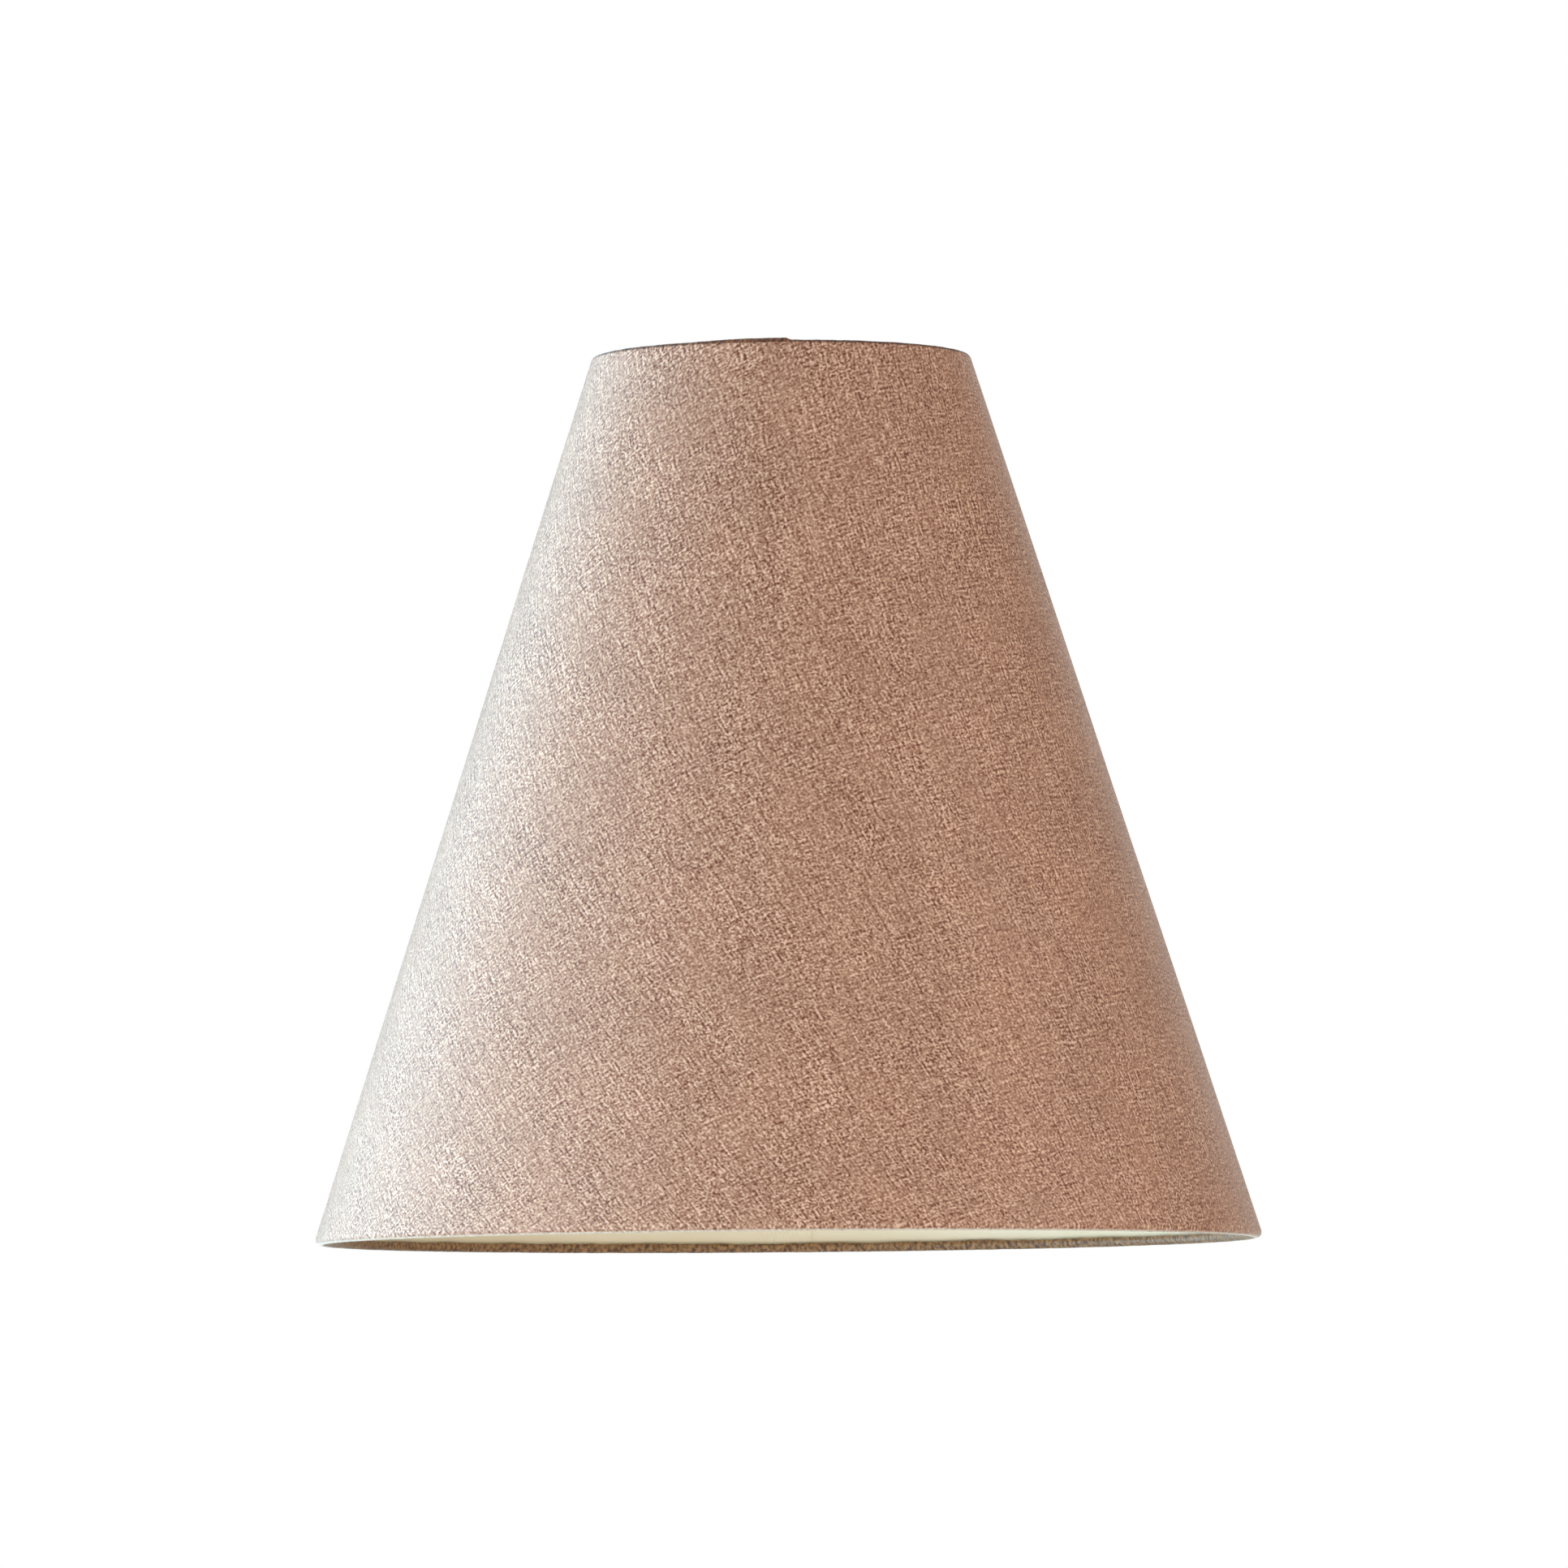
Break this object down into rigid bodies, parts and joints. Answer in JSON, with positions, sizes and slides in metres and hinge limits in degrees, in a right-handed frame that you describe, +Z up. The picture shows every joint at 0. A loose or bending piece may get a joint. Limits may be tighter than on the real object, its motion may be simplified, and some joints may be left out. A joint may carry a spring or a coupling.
{
  "type": "lamp shade",
  "caption": "Plain cone-shaped hardback lamp shade in woven linen with rolled edges, a cream backing and a reversible gimbal ring fitter inside the top.",
  "frame": {"origin": "centre of the bottom rim, on the shade's axis, in the plane that the rim rests on", "axes": "+Z up the shade's axis from the wide rim to the narrow one; +X along the gimbal's pivots; the closing seam is at +Y"},
  "size_m": [0.2488, 0.2488, 0.235],
  "materials": {
    "linen": "plain-weave slubbed linen in dusky rose-brown, matt, pressed onto a stiff backing",
    "backing": "cream satin PVC laminate sheet",
    "tape": "thin cream adhesive jointing tape",
    "hoop_wire": "bright zinc-plated drawn wire",
    "white_enamel": "white powder-coated steel",
    "rivet_steel": "bright zinc-plated steel rivet",
    "white_plastic": "white moulded heat-resistant plastic"
  },
  "bodies": {
    "shade": {"fabric_cover": "linen", "backing_sheet": "backing", "seam_tape": "tape", "bottom_hoop": "hoop_wire", "top_hoop": "hoop_wire", "pivot_lug_left": "white_enamel", "pivot_lug_right": "white_enamel", "pivot_rivet_left": "rivet_steel", "pivot_rivet_right": "rivet_steel"},
    "gimbal": {"gimbal_arm_left": "white_enamel", "gimbal_arm_right": "white_enamel", "utility_ring": "white_enamel"},
    "reducer": {"reducer_ring": "white_plastic"}
  },
  "joints": [
    {"name": "gimbal_tilt", "type": "hinge", "parent": "shade", "child": "gimbal", "pos_m": [0, 0, 0.2265], "axis": [1, 0, 0], "range_deg": [-30, 180]},
    {"name": "reducer_lift", "type": "slide", "parent": "gimbal", "child": "reducer", "axis": [0, 0, 1], "range_m": [0, 0.02]}
  ]
}
